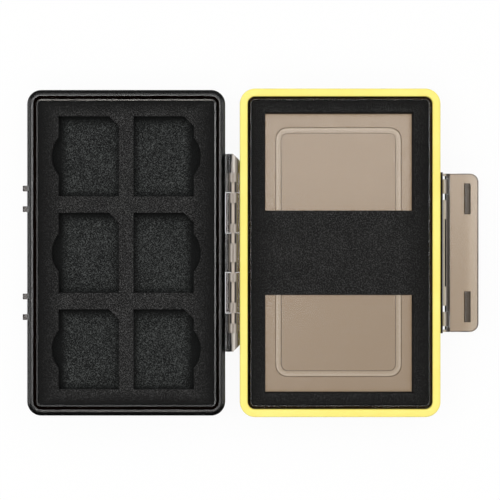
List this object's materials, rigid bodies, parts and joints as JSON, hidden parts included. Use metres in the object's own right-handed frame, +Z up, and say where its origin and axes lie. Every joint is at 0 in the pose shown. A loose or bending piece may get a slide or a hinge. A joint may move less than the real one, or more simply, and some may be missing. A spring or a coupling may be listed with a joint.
{
  "type": "battery case",
  "caption": "Hinged hard case with foam-lined halves, for camera batteries and memory cards, with a sealing gasket and a snap latch.",
  "frame": {"origin": "on the surface that the open case lies on, under the middle of its outline", "axes": "+X across the hinge from the lid to the base and its latch, +Y along the hinge, +Z up out of the open trays"},
  "size_m": [0.1842, 0.1326, 0.0247],
  "materials": {
    "smoke_plastic": "polished translucent smoke polycarbonate",
    "dark_plastic": "polished dark smoke polycarbonate",
    "yellow_silicone": "satin silicone",
    "pin_steel": "drawn wire",
    "black_foam": "fine-celled closed foam, matte"
  },
  "bodies": {
    "base": {"base_shell": "smoke_plastic", "gasket": "yellow_silicone", "base_foam": "black_foam", "foam_plug": "black_foam", "hinge_pin": "pin_steel", "latch_pin_upper": "pin_steel", "latch_pin_lower": "pin_steel"},
    "lid": {"lid_shell": "dark_plastic", "lid_foam": "black_foam", "lid_foam_backing": "black_foam"},
    "latch": {"latch": "smoke_plastic"}
  },
  "joints": [
    {"name": "lid_hinge", "type": "hinge", "parent": "base", "child": "lid", "pos_m": [-0.0071, 0, 0.02225], "axis": [0, 1, 0], "range_deg": [0, 180]},
    {"name": "latch_pivot", "type": "hinge", "parent": "base", "child": "latch", "pos_m": [0.0789, 0, 0.01875], "axis": [0, -1, 0], "range_deg": [-90, 90]}
  ]
}
